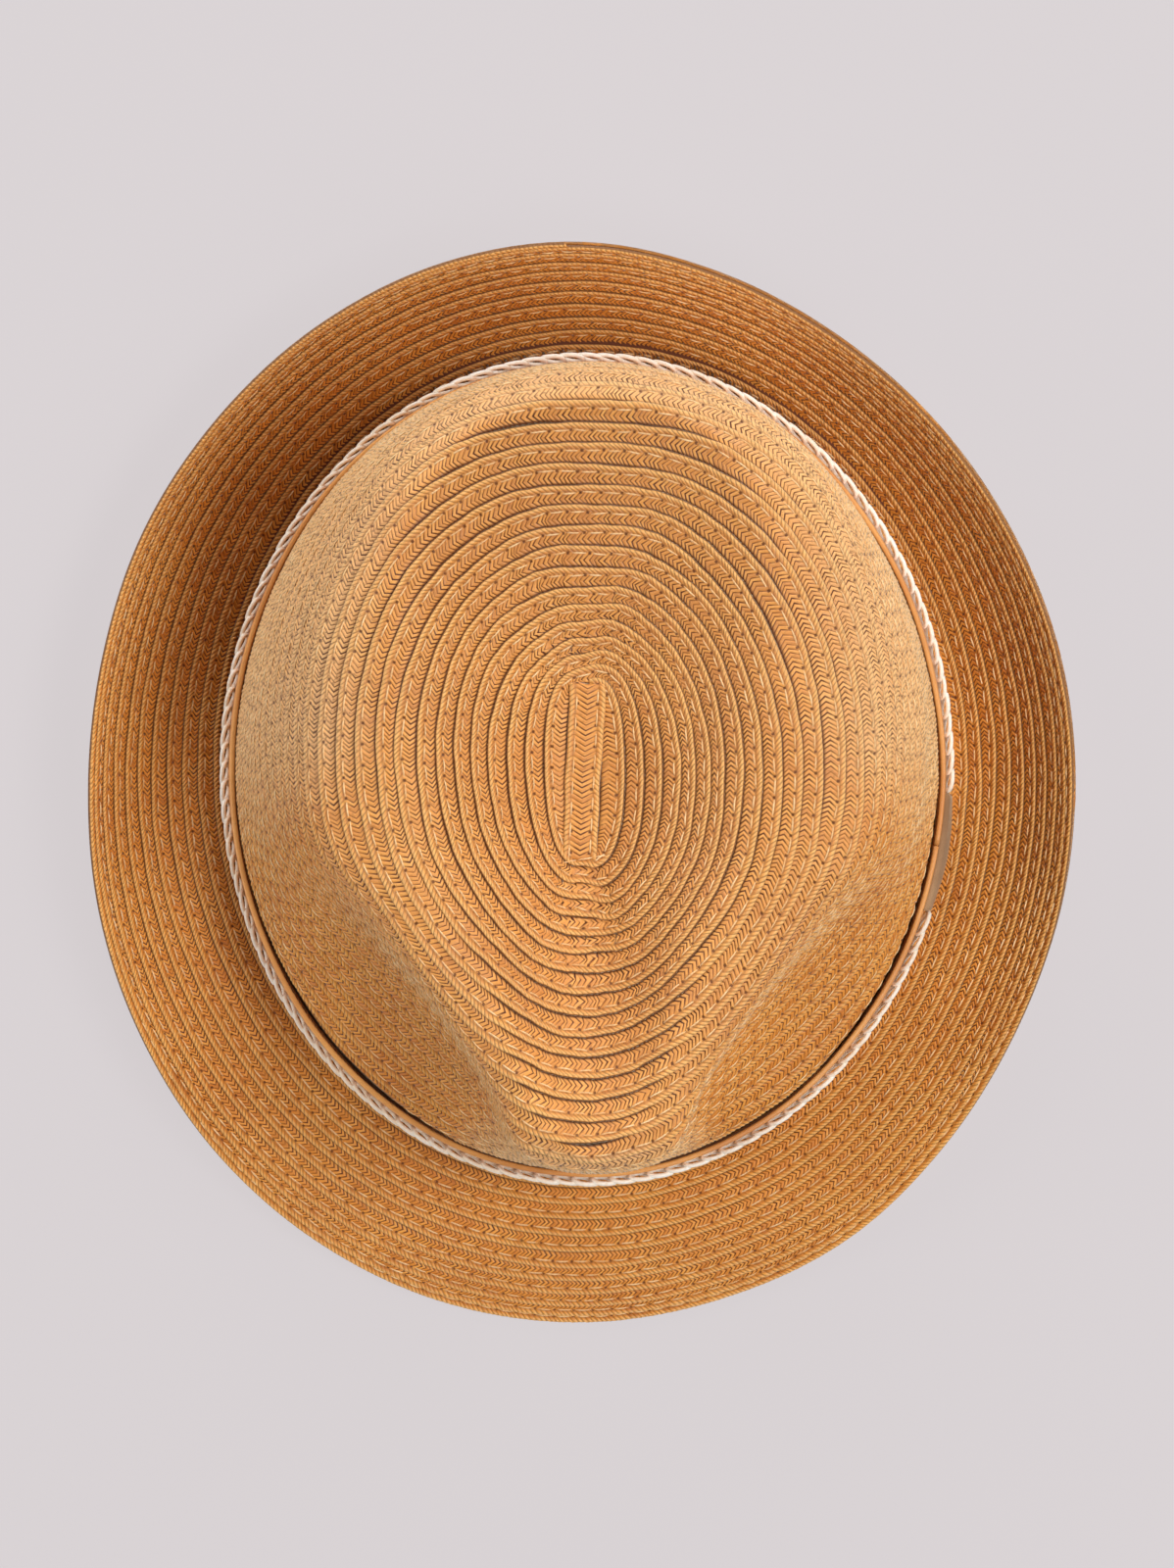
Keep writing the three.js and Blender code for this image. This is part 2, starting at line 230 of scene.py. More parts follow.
def surfaceGrid():
    turn = np.arange(0, 360, rows["turnStep"])
    keys = sectionKeys(turn)
    spans = np.linalg.norm(keys[1:] - keys[:-1], axis=-1)
    last = len(keys) - 1
    slopes = np.zeros_like(keys)
    for i in range(last + 1):
        length = (spans[i - 1] if i > 0 else 0) + (spans[i] if i < last else 0)
        slopes[i] = (keys[min(last, i + 1)] - keys[max(0, i - 1)]) / length[:, None]
    slopes[0][:, 2] = 0
    section = [keys[0]]
    for i in range(last):
        for step in range(1, rows["sectionSteps"] + 1):
            s = step / rows["sectionSteps"]
            if i == straightSpan:
                section.append(keys[i] + (keys[i + 1] - keys[i]) * s)
            else:
                span = spans[i][:, None]
                section.append(hermite(keys[i], keys[i + 1], slopes[i] * span, slopes[i + 1] * span, s))
    section = np.stack(section)
    run = np.zeros(section.shape[:2])
    run[1:] = np.cumsum(np.linalg.norm(section[1:] - section[:-1], axis=-1), axis=0)
    levels = axisLevel + np.arange(rows["levelSteps"] + 1) * levelStep
    crownRun = run[breakKey * rows["sectionSteps"]]
    brimRun = run[-1] - crownRun
    grid = np.zeros((len(turn), len(levels), 3))
    trim = np.zeros((2, len(turn)))
    axis = stripAxis(turn)
    for i in range(len(turn)):
        inCrown = crowdedLevel(np.clip(levels, 0, rows["crown"]), turn[i])
        inCrown *= crownRun[i] / crowdedLevel(rows["crown"], turn[i])
        inBrim = np.maximum(0, levels - rows["crown"]) / rows["brim"] * brimRun[i]
        at = inCrown + inBrim
        for c in range(3):
            grid[i, :, c] = np.interp(at, run[:, i], section[:, i, c])
        for n in range(2):
            trim[n, i] = np.interp(run[(straightSpan + n) * rows["sectionSteps"], i], at, levels)
        under = levels < 0
        share = (levels[under] / axisLevel)[:, None]
        grid[i, under] = section[0, i] + (axis[i] - section[0, i]) * share
    return grid, trim


grid, (bandTopLevel, footLevel) = surfaceGrid()
alongTurn = (np.roll(grid, -1, 0) - np.roll(grid, 1, 0)) / (2 * rows["turnStep"])
alongLevel = np.gradient(grid, levelStep, axis=1)
normals = -unit(np.cross(alongTurn, alongLevel))


def readGrid(table, turn, level):
    i = np.asarray(turn) / rows["turnStep"]
    i0 = np.floor(i).astype(int)
    f = (i - i0)[..., None]
    j = (np.asarray(level) - axisLevel) / levelStep
    j0 = np.clip(np.floor(j).astype(int), 0, rows["levelSteps"] - 1)
    g = (j - j0)[..., None]
    count = table.shape[0]
    a = table[i0 % count, j0] * (1 - g) + table[i0 % count, j0 + 1] * g
    b = table[(i0 + 1) % count, j0] * (1 - g) + table[(i0 + 1) % count, j0 + 1] * g
    return a * (1 - f) + b * f


def readRing(ring, turn):
    i = np.asarray(turn) / rows["turnStep"]
    i0 = np.floor(i).astype(int)
    f = i - i0
    return ring[i0 % len(ring)] * (1 - f) + ring[(i0 + 1) % len(ring)] * f


# how far the rows stray from even levels, in rows: level, at the front, patch side, back, other side
strayRows = np.array([
    (0, -0.4, 1.0, 0.05, 0.4),
    (1, -0.3, 1.1, -0.1, 0.45),
    (3, -0.6, 1.3, -0.5, 0.75),
    (6, -0.8, 0.75, -0.9, 0.8),
    (10, -0.65, 0.5, -0.95, 0.8),
    (14, -0.5, 0.8, -1.15, 1.25),
    (24, -0.2, 0.4, -0.5, 0.55),
    (34, 0, 0, 0, 0),
])
# where the ovals draw in between those, or out where negative: turn, half width in degrees, rows
drawnIn = ((125, 40, 0.75), (230, 40, 0.65), (298, 34, 0.35), (33, 26, -0.25))
drawnLevels = (0.5, 3, 10, 18)    # where that starts, is full, and ends


def strayAt(level, turn):
    front, right, back, left = (np.interp(level, strayRows[:, 0], strayRows[:, n]) for n in (1, 2, 3, 4))
    a = np.radians(turn)
    mean = (front + right + back + left) / 4
    oval = (front + back - right - left) / 4
    stray = mean + oval * np.cos(2 * a) + (front - back) / 2 * np.cos(a) + (right - left) / 2 * np.sin(a)
    here = np.interp(level, drawnLevels, (0, 1, 1, 0))
    for at, halfWidth, depth in drawnIn:
        off = np.abs((turn - at + 180) % 360 - 180) / halfWidth
        stray = stray - here * depth * np.cos(np.minimum(1, off) * np.pi / 2) ** 2
    return stray


def rowLevel(theta):
    # level of the row's outer edge after theta degrees of winding
    winding = theta / 360.0
    left = rows["lastTurns"] - winding
    crowded = rows["edgeCrowding"]
    level = lastLevel - left + crowded * (1 - np.exp(-np.maximum(0, left) / crowded))
    quiet = np.clip(level / rows["quietStart"], 0, 1) * np.clip((lastLevel - level) / rows["quietEnd"], 0, 1)
    wobble = rows["wobble"] * ripple(winding, rows["wobbleWaves"]) * quiet
    return level + strayAt(level, patchSide - theta) + wobble


thetas = np.arange(rows["startAt"], rows["lastTurns"] * 360, 0.5)
pathPoints = readGrid(grid, patchSide - thetas, rowLevel(thetas))
pathRun = runAlong(pathPoints)
reachBefore = np.maximum(0, rowLevel(thetas - 360)) * (thetas - 360 > rows["startAt"])
pitchAlong = np.linalg.norm(pathPoints - readGrid(grid, patchSide - thetas, reachBefore), axis=1)
print("surface ready, braid length", round(pathRun[-1] / 1000, 2), "m")


def beside(run, inward):
    # turn and level of points set inward (mm) from the row's outer edge, square to the row
    theta = np.interp(run, pathRun, thetas)
    turn = patchSide - theta
    level = rowLevel(theta)
    step = rows["lookAhead"]
    along = unit(readGrid(grid, turn - step, rowLevel(theta + step))
                 - readGrid(grid, turn + step, rowLevel(theta - step)))
    eu = readGrid(alongTurn, turn, level)
    en = readGrid(alongLevel, turn, level)
    way = np.cross(along, readGrid(normals, turn, level))
    way *= -np.sign(np.sum(way * en, -1, keepdims=True))
    a, b, c, p, q = (np.sum(u * v, -1) for u, v in ((eu, eu), (eu, en), (en, en), (way, eu), (way, en)))
    det = np.maximum(1e-9, a * c - b * b)
    inTurn = (p * c - q * b) / det * inward
    inLevel = (q * a - p * b) / det * inward
    return turn + inTurn, np.maximum(axisLevel, level + inLevel), along


def addObject(name, data):
    made = bpy.data.objects.new(name, data)
    bpy.context.scene.collection.objects.link(made)
    return made


def newMesh(name, points):
    # points in mm
    mesh = bpy.data.meshes.new(name)
    mesh.vertices.add(len(points))
    mesh.vertices.foreach_set("co", (np.asarray(points, float) * mm).ravel())
    return mesh


def makeMesh(name, points, faces, material, uv=None):
    # faces are a list of arrays, each with faces of one size
    mesh = newMesh(name, points)
    flat = np.concatenate([f.ravel() for f in faces]).astype(np.int32)
    sizes = np.concatenate([np.full(len(f), f.shape[1]) for f in faces]).astype(np.int32)
    mesh.loops.add(len(flat))
    mesh.loops.foreach_set("vertex_index", flat)
    mesh.polygons.add(len(sizes))
    mesh.polygons.foreach_set("loop_start", np.append(0, np.cumsum(sizes)[:-1]).astype(np.int32))
    mesh.polygons.foreach_set("loop_total", sizes)
    mesh.update(calc_edges=True)
    mesh.polygons.foreach_set("use_smooth", np.ones(len(sizes), bool))
    if uv is not None:
        mesh.uv_layers.new(name="weave").data.foreach_set("uv", np.asarray(uv, float)[flat].ravel())
    mesh.materials.append(material)
    return addObject(name, mesh)


def addAttribute(piece, name, kind, values):
    attribute = piece.data.attributes.new(name, kind, "POINT")
    field = "vector" if kind == "FLOAT_VECTOR" else "value"
    attribute.data.foreach_set(field, np.asarray(values, float).ravel())


def gridFaces(across, along, wrapAcross=False, offset=0):
    # quads of a grid stored along-major: index = j * across + i
    i, j = np.meshgrid(np.arange(across if wrapAcross else across - 1), np.arange(along - 1))
    here = (j * across + i).ravel()
    nextTo = (j * across + (i + 1) % across).ravel()
    return offset + np.stack([here, nextTo, nextTo + across, here + across], -1)


def tubeFaces(across, along):
    # the sides and the two ends of a strip whose cross-section is closed
    ends = np.stack([np.arange(across)[::-1], (along - 1) * across + np.arange(across)])
    return [gridFaces(across, along, wrapAcross=True), ends]


# node helpers
def addNode(tree, kind, settings=None, **inputs):
    # an input goes by its name, or by i and its index; gives the node's outputs
    made = tree.nodes.new(kind)
    for key, value in (settings or {}).items():
        setattr(made, key, value)
    for key, value in inputs.items():
        socket = made.inputs[int(key[1:]) if key[1:].isdigit() else key]
        if isinstance(value, bpy.types.NodeSocket):
            tree.links.new(value, socket)
        else:
            socket.default_value = value
    return made.outputs


def maths(tree, operation, a, b=0.0, c=0.0, clamp=False):
    return addNode(tree, "ShaderNodeMath", {"operation": operation, "use_clamp": clamp}, i0=a, i1=b, i2=c)[0]


def times(tree, a, b, clamp=False):
    return maths(tree, "MULTIPLY", a, b, clamp=clamp)


def apart(tree, a, b):
    return maths(tree, "ABSOLUTE", maths(tree, "SUBTRACT", a, b))


def ramp(tree, value, fromMin, fromMax, toMin=0.0, toMax=1.0):
    return addNode(tree, "ShaderNodeMapRange", {"interpolation_type": "SMOOTHSTEP"}, i0=value, i1=fromMin,
                   i2=fromMax, i3=toMin, i4=toMax)[0]


def mixColour(tree, share, a, b):
    return addNode(tree, "ShaderNodeMix", {"data_type": "RGBA"}, i0=share, i6=a, i7=b)[2]


def noise(tree, vector, scale, detail, roughness=0.5):
    return addNode(tree, "ShaderNodeTexNoise", Vector=vector, Scale=scale, Detail=detail,
                   Roughness=roughness)[0]


def objectPlace(tree):
    return addNode(tree, "ShaderNodeTexCoord")["Object"]


def linear(r, g, b):
    # a colour picked from a screen, 0 to 255
    return tuple((v / 255 / 12.92 if v / 255 <= 0.04045 else ((v / 255 + 0.055) / 1.055) ** 2.4)
                 for v in (r, g, b)) + (1.0,)


def newMaterial(name, roughness, specular=0.4, sheen=0.0, sheenRough=0.5, sheenTint=(1, 1, 1, 1)):
    material = bpy.data.materials.new(name)
    material.use_nodes = True
    tree = material.node_tree
    tree.nodes.clear()
    shader = tree.nodes.new("ShaderNodeBsdfPrincipled")
    for socket, value in (("Roughness", roughness), ("Specular IOR Level", specular), ("Sheen Weight", sheen),
                          ("Sheen Roughness", sheenRough), ("Sheen Tint", sheenTint)):
        shader.inputs[socket].default_value = value
    addNode(tree, "ShaderNodeOutputMaterial", i0=shader.outputs[0])
    return material, tree, shader


def paint(tree, shader, colour, strength, distance, height):
    # the colour, and a bump in metres
    tree.links.new(colour, shader.inputs["Base Color"])
    bump = addNode(tree, "ShaderNodeBump", Strength=strength, Distance=distance, Height=height)
    tree.links.new(bump[0], shader.inputs["Normal"])


def newTree(name, values):
    # a geometry tree with an input for each value, where a whole number is a seed
    tree = bpy.data.node_groups.new(name, "GeometryNodeTree")
    face = tree.interface
    face.new_socket("Geometry", in_out="INPUT", socket_type="NodeSocketGeometry")
    for label, value in values.items():
        kind = "NodeSocketInt" if isinstance(value, int) else "NodeSocketFloat"
        face.new_socket(label, in_out="INPUT", socket_type=kind).default_value = value
    face.new_socket("Geometry", in_out="OUTPUT", socket_type="NodeSocketGeometry")
    return tree, addNode(tree, "NodeGroupInput")


def stored(tree, name, kind="FLOAT_VECTOR"):
    return addNode(tree, "GeometryNodeInputNamedAttribute", {"data_type": kind}, Name=name)[0]


def endTree(tree, geometry, material):
    real = addNode(tree, "GeometryNodeRealizeInstances", i0=geometry)
    painted = addNode(tree, "GeometryNodeSetMaterial", Geometry=real[0], Material=material)
    addNode(tree, "NodeGroupOutput", i0=painted[0])


def spread(tree, inputs, shape, axes, scale, material):
    # stands a copy of the shape on every point, turned by the two directions stored there
    smooth = addNode(tree, "GeometryNodeSetShadeSmooth", Geometry=shape)
    turnTo = addNode(tree, "FunctionNodeAxesToRotation", {"primary_axis": axes[0], "secondary_axis": axes[1]},
                     i0=stored(tree, "along"), i1=stored(tree, "up"))
    placed = addNode(tree, "GeometryNodeInstanceOnPoints", Points=inputs["Geometry"],
                     Instance=smooth[0], Rotation=turnTo[0], Scale=scale)
    endTree(tree, placed[0], material)
    return tree


def bakeTree(piece, tree, values):
    # runs a node tree on a piece and keeps the plain mesh
    modifier = piece.modifiers.new(tree.name, "NODES")
    modifier.node_group = tree
    for item in tree.interface.items_tree:
        if item.in_out == "INPUT" and item.name in values:
            modifier[item.identifier] = values[item.name]
    piece.update_tag()
    bpy.context.view_layer.update()
    graph = bpy.context.evaluated_depsgraph_get()
    mesh = bpy.data.meshes.new_from_object(piece.evaluated_get(graph), preserve_all_data_layers=True,
                                           depsgraph=graph)
    old = piece.data
    piece.modifiers.clear()
    piece.data = mesh
    mesh.name = piece.name
    bpy.data.meshes.remove(old)


def dress(piece, nodes):
    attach(piece, "root")
    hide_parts(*nodes)


# straw
straw = {
    "strandPitch": 1.2,       # along the braid, from one strand to the next
    "vertexAt": 3.4,          # where the two sets of strands meet, from the outer edge
    "stitchPitch": 4.9,
    "stitchAt": 1.9,
    "insideVertexAt": 2.4,
    "insideShear": 0.75,
    "dark": linear(182, 98, 26),
    "middle": linear(226, 144, 52),
    "light": linear(246, 178, 86),
    # pale flecks, and the painted highlight on the rolled edge
    "pale": linear(252, 206, 128),
    # painted sheen colour of the crown's wall and tip
    "paintedSheen": linear(252, 208, 150),
    # painted shade colour for the valleys, grooves and needle holes
    "valleyShade": linear(88, 36, 8),
    "stitch": linear(240, 208, 156),
}


def strawMaterial(name, chevronsInShader=False):
    material, tree, shader = newMaterial(name, 0.5, 0.45, 0.6, 0.3, linear(255, 236, 208))
    uv = addNode(tree, "ShaderNodeUVMap", {"uv_map": "weave"})[0]
    strand, across = addNode(tree, "ShaderNodeSeparateXYZ", i0=uv)[:2]
    objectAt = objectPlace(tree)
    if chevronsInShader:
        leg = apart(tree, across, straw["insideVertexAt"])
        strand = maths(tree, "MULTIPLY_ADD", leg, straw["insideShear"], strand)
    index = maths(tree, "ROUND", strand)
    fromCrest = apart(tree, strand, index)
    tint = addNode(tree, "ShaderNodeTexWhiteNoise", {"noise_dimensions": "1D"}, W=index)[0]
    patches = noise(tree, objectAt, 38.0, 2.0)
    flecks = noise(tree, objectAt, 700.0, 2.0)
    fibreAt = addNode(tree, "ShaderNodeCombineXYZ", i0=times(tree, strand, 8.0),
                      i1=times(tree, across, 0.6), i2=index)
    fibres = noise(tree, fibreAt[0], 1.0, 3.0, 0.6)
    tone = maths(tree, "MULTIPLY_ADD", tint, 0.2, times(tree, fibres, 0.5))
    tone = maths(tree, "MULTIPLY_ADD", patches, 0.25, tone)
    colour = mixColour(tree, ramp(tree, tone, 0.22, 0.5), straw["dark"], straw["middle"])
    colour = mixColour(tree, ramp(tree, tone, 0.45, 0.75), colour, straw["light"])
    # the rolled edge gets a painted highlight, the crown's wall is paler with painted sheen, and pale flecks
    # lie here and there
    edge = ramp(tree, across, 1.15, 0.6)
    colour = mixColour(tree, times(tree, edge, 0.42), colour, straw["pale"])
    # painted sheen on the wall and tip, and painted shade in the slit over the band
    paintedSheenAndShade = addNode(tree, "ShaderNodeAttribute", {"attribute_name": "paintedSheenAndShade"})["Fac"]
    sheenShare = times(tree, paintedSheenAndShade, 0.55, clamp=True)
    colour = mixColour(tree, sheenShare, colour, straw["paintedSheen"])
    colour = mixColour(tree, ramp(tree, flecks, 0.62, 0.8, 0.0, 0.25), colour, straw["pale"])
    # painted shade, dark between strands and most where they meet, in the slit over the band, in uneven dots
    # over the pale wall, at the row's foot, under the next row and in the groove behind the rolled edge
    gapWidth = maths(tree, "MULTIPLY_ADD", tint, -0.14, 0.4)
    valleyShade = maths(tree, "DIVIDE", maths(tree, "SUBTRACT", fromCrest, gapWidth), 0.1, clamp=True)
    groove = times(tree, ramp(tree, across, 1.15, 1.4), ramp(tree, across, 1.85, 1.5))
    shade = times(tree, valleyShade, ramp(tree, across, 2.0, 3.2, 0.5, 1.0))
    for darker in (times(tree, paintedSheenAndShade, -0.8, clamp=True),
                   times(tree, ramp(tree, noise(tree, objectAt, 1150.0, 1.0), 0.58, 0.67), sheenShare),
                   ramp(tree, across, 0.22, 0.08, 0.0, 0.8),
                   ramp(tree, across, 4.1, 4.75, 0.0, 0.9),
                   times(tree, groove, 0.35)):
        shade = maths(tree, "MAXIMUM", shade, darker)
    colour = mixColour(tree, shade, colour, straw["valleyShade"])
    # painted shade in the needle holes between the stitches
    run = addNode(tree, "ShaderNodeAttribute", {"attribute_name": "run"})["Fac"]
    phase = maths(tree, "FRACT", maths(tree, "DIVIDE", run, straw["stitchPitch"]))
    alongHole = apart(tree, phase, 0.5)
    acrossHole = apart(tree, across, straw["stitchAt"])
    hole = times(tree, ramp(tree, alongHole, 0.1, 0.03), ramp(tree, acrossHole, 0.42, 0.2))
    colour = mixColour(tree, times(tree, hole, 0.85), colour, straw["valleyShade"])
    if chevronsInShader:
        dash = times(tree, ramp(tree, alongHole, 0.1, 0.16), ramp(tree, acrossHole, 0.3, 0.2))
        colour = mixColour(tree, dash, colour, straw["stitch"])
    rise = maths(tree, "POWER", ramp(tree, fromCrest, 0.5, 0.0), 0.6)
    height = maths(tree, "MULTIPLY_ADD", fibres, 0.35, rise)
    height = maths(tree, "MULTIPLY_ADD", hole, -1.2, height)
    paint(tree, shader, colour, 0.7, 0.00025, height)
    return material


strawTop = strawMaterial("straw braid")
strawInside = strawMaterial("straw braid inside", True)


# the braid: one closed strip per winding range, its cross-section from the outer edge inward
braid = {
    # inward from the edge, height over the frame's surface, strand relief
    "profile": ((0.0, -0.35, 0.0), (0.12, 0.28, 0.06), (0.52, 0.62, 0.09), (1.05, 0.3, 0.08),
                (1.75, 0.14, 0.1), (3.4, 0.08, 0.15), (4.7, -0.2, 0.12), (5.5, -0.62, 0.0)),
    "shear": 0.85,
    "edgeShear": 1.2,
    "flatAt": 1.75,
    "tuck": 0.8,
    "leastStretch": 0.15,
    "relief": 1.0,
    "strandJitter": 0.08,
    "seed": 7,
    "spacing": ((0.2, 1 / 1.9, 0), (0.16, 1 / 3.1, 1.3), (0.12, 1 / 7.7, 0.4)),
    "hiddenStep": 6,
    "hiddenFrom": 1.25,       # rows past the band's top, and short of its foot, where few columns are kept
    "hiddenTo": 0.1,
    "underBand": -0.45,
    "coverFrom": (-0.25, 0),  # rows past the band's top where the braid starts to dip and has dipped
    "coverTo": (-0.05, 0.2),  # the same past its foot, where it comes up again
    # windings of each piece
    "pieces": (("braid_tip", -1.0, 14.5), ("braid_upper_wall", 14.5, 24.0), ("braid_lower_wall", 24.0, 34.0),
               ("braid_inner_brim", 34.0, 38.8), ("braid_outer_brim", 38.8, 99.0)),
}
# where the straw gets painted sheen, and painted shade in the slit over the band
pale = {
    "lean": (0.1, 0.65),       # outward lean where the painted sheen starts, and is full
    "levels": (32.5, 34),      # where that ends, at the crown's foot
    "dents": (14, 24, 76, 92),  # degrees from the front where the dents start, are full and end
    "tip": 0.3,
    "tipLevels": (14, 17),
    "slit": (-0.3, -0.15),     # rows past the band's top
}
profile = np.array(braid["profile"])
halfPitch = straw["strandPitch"] / 2


def legShift(inward):
    # strands trail from the line where they meet, and turn back at the rolled edge
    meet = straw["vertexAt"]
    flatAt = braid["flatAt"]
    turned = meet - flatAt - braid["edgeShear"] * (flatAt - inward)
    return braid["shear"] * np.where(inward < flatAt, turned, np.abs(inward - meet))


def bandCover(turn, level):
    # 1 where the leather band lies over the crown
    fromTop = level - readRing(bandTopLevel, turn)
    fromFoot = level - readRing(footLevel, turn)
    return np.interp(fromTop, braid["coverFrom"], (0, 1)) * np.interp(fromFoot, braid["coverTo"], (1, 0))


def paintedSheen(base, turn, level, up):
    # 1 where the crown's wall leans outward and gets painted sheen, but not in the two front dents, a
    # little painted sheen over the tip, and -1 for painted shade in the slit over the band
    outward = unit((base - (*hat["crown"], 0)) * (1, 1, 0))
    lean = np.sum(up * outward, -1)
    wall = np.interp(lean, pale["lean"], (0, 1)) * np.interp(level, pale["levels"], (1, 0))
    fromFront = np.abs((turn + 180.0) % 360 - 180)
    dent = np.interp(fromFront, pale["dents"], (0, 1, 1, 0))
    share = np.maximum(wall * (1 - dent), np.interp(level, pale["tipLevels"], (pale["tip"], 0)))
    slit = np.interp(level - readRing(bandTopLevel, turn), pale["slit"], (0, 1))
    slit = slit * (level < readRing(footLevel, turn))
    return share * (1 - slit) - slit


columnCount = int(pathRun[-1] / halfPitch)
lattice = np.arange(columnCount)
latticeTheta = np.interp(lattice * halfPitch, pathRun, thetas)
latticeLevel = rowLevel(latticeTheta)
latticeTurn = patchSide - latticeTheta
hidden = ((latticeLevel - braid["hiddenFrom"] > readRing(bandTopLevel, latticeTurn))
          & (latticeLevel < readRing(footLevel, latticeTurn) - braid["hiddenTo"]))
kept = lattice[~hidden | (lattice % braid["hiddenStep"] == 0)]
rng = np.random.default_rng(braid["seed"])
strandHeight = rng.uniform(-1, 1, columnCount // 2 + 2) * braid["strandJitter"]


def makeReliefTree(values):
    # lifts the crest of each strand and sinks the valley beside it, along the hat's own normal
    tree, inputs = newTree("plait relief", values)
    size = times(tree, times(tree, stored(tree, "crest", "FLOAT"), inputs["strandRelief"]), mm)
    move = addNode(tree, "ShaderNodeVectorMath", {"operation": "SCALE"}, i0=stored(tree, "up"), Scale=size)
    moved = addNode(tree, "GeometryNodeSetPosition", Geometry=inputs["Geometry"], Offset=move[0])
    endTree(tree, moved[0], strawTop)
    return tree


reliefValues = {"strandRelief": braid["relief"]}
reliefTree = makeReliefTree(reliefValues)


def braidPiece(name, fromWinding, toWinding):
    winding = latticeTheta[kept] / 360
    order = np.flatnonzero((winding >= fromWinding) & (winding < toWinding))
    columns = kept[order[0]:min(order[-1] + 1, len(kept) - 1) + 1]
    place = np.tile(profile[:, 0], (len(columns), 1))
    middle = columns[:, None] * halfPitch
    run = middle + legShift(place) + ripple(middle, braid["spacing"])
    # past the stitches the braid reaches as far in as the winding before it, and a little under that
    flatAt = braid["flatAt"]
    reach = np.interp(run, pathRun, pitchAlong) + braid["tuck"]
    stretch = np.maximum(braid["leastStretch"], (reach - flatAt) / (profile[-1, 0] - flatAt))
    inward = np.where(place > flatAt, flatAt + (place - flatAt) * stretch, place)
    turn, level = beside(run, inward)[:2]
    base = readGrid(grid, turn, level)
    up = readGrid(normals, turn, level)
    isHidden = hidden[columns].astype(float)[:, None]
    jitter = strandHeight[(columns + 1) // 2][:, None]
    height = profile[:, 1] + jitter * (profile[:, 2] > 0)
    cover = bandCover(turn, level)
    height = height * (1 - cover) + np.minimum(height, braid["underBand"]) * cover
    crest = np.where(columns % 2 == 0, 1.0, -1.0)[:, None] * profile[:, 2] * (1 - cover) * (1 - isHidden)
    points = (base + up * height[..., None]).reshape(-1, 3)
    uv = np.stack([np.broadcast_to(columns[:, None] / 2.0, place.shape), place], -1).reshape(-1, 2)
    piece = makeMesh(name, points, tubeFaces(len(profile), len(columns)), strawTop, uv)
    addAttribute(piece, "run", "FLOAT", run)
    addAttribute(piece, "paintedSheenAndShade", "FLOAT", paintedSheen(base, turn, level, up))
    addAttribute(piece, "crest", "FLOAT", crest)
    addAttribute(piece, "up", "FLOAT_VECTOR", up)
    bakeTree(piece, reliefTree, reliefValues)
    for layer in ("crest", "up"):
        piece.data.attributes.remove(piece.data.attributes[layer])
    print(name, "columns", len(columns))
    return piece


for name, fromWinding, toWinding in braid["pieces"]:
    dress(braidPiece(name, fromWinding, toWinding), ["braid_body"])


# the strip of braid that the sewing starts with, in the middle of the dish
strip = {
    "front": (-0.63, -17.3),
    "back": (1.5, 24.4),
    "z": 82.0,
    # share of the half width, height
    "profile": ((-1.0, -0.2), (-0.95, 0.65), (-0.84, 0.98), (-0.7, 0.72), (-0.56, 0.62), (-0.25, 0.66),
                (0.0, 0.7), (0.25, 0.66), (0.56, 0.62), (0.7, 0.72), (0.84, 0.98), (0.95, 0.65), (1.0, -0.2)),
    "frontHalf": 3.95,
    "backHalf": 4.35,
    "relief": 0.1,
    "shear": 0.55,
    "shearTo": 2.4,       # from the middle line, where the strands stop trailing
    "edgeShear": 0.8,
    "edgeAt": 2.9,        # where the rolled edges turn them again
    "fadeOver": 1.5,      # from the ends, where the strands straighten
    "endOver": 1.4,       # from the ends, where the strip flattens
    "endHeight": 0.45,
    "endSink": 0.5,
    "sway": ((0.12, 1 / 4.1, 0), (0.08, 1 / 1.9, 1)),
    "weaveHalf": 4.018,   # half width in the straw's own pattern
}


def stripLine():
    # front end, way to the back, way to the patch side, length
    front = np.array(strip["front"])
    way = np.array(strip["back"]) - front
    length = np.linalg.norm(way)
    way = way / length
    return front, way, np.array([way[1], -way[0]]), length


def startStrip():
    shape = np.array(strip["profile"])
    front, way, side, length = stripLine()
    columns = np.arange(int(length / halfPitch) + 1)
    share = columns[:, None] * halfPitch / length
    half = strip["frontHalf"] + (strip["backHalf"] - strip["frontHalf"]) * share
    across = shape[:, 0][None, :] * half
    fromMiddle = np.abs(across)
    fromEnd = np.minimum(share, 1 - share) * length
    trail = strip["shear"] * np.minimum(fromMiddle, strip["shearTo"])
    trail -= strip["edgeShear"] * np.maximum(0, fromMiddle - strip["edgeAt"])
    run = columns[:, None] * halfPitch + trail * np.clip(fromEnd / strip["fadeOver"], 0, 1)
    sideways = across + ripple(run, strip["sway"])
    x = front[0] + way[0] * run + side[0] * sideways
    y = front[1] + way[1] * run + side[1] * sideways
    end = np.clip(fromEnd / strip["endOver"], 0, 1)
    crest = np.where(columns % 2 == 0, 1.0, -1.0)[:, None] * strip["relief"] * (shape[:, 1] > 0)
    height = shape[:, 1] * (strip["endHeight"] + (1 - strip["endHeight"]) * end)
    z = strip["z"] + height - strip["endSink"] * (1 - end) + crest * end
    points = np.stack([x, y, z], -1).reshape(-1, 3)
    inward = (1 - np.abs(shape[:, 0])) * strip["weaveHalf"]
    uv = np.stack([np.broadcast_to(columns[:, None] / 2.0, x.shape), np.broadcast_to(inward, x.shape)], -1)
    piece = makeMesh("start_strip", points, tubeFaces(len(shape), len(columns)), strawTop, uv.reshape(-1, 2))
    addAttribute(piece, "run", "FLOAT", run)
    addAttribute(piece, "paintedSheenAndShade", "FLOAT", np.full(len(points), pale["tip"]))
    return piece


dress(startStrip(), ["braid_body"])
print("start strip")


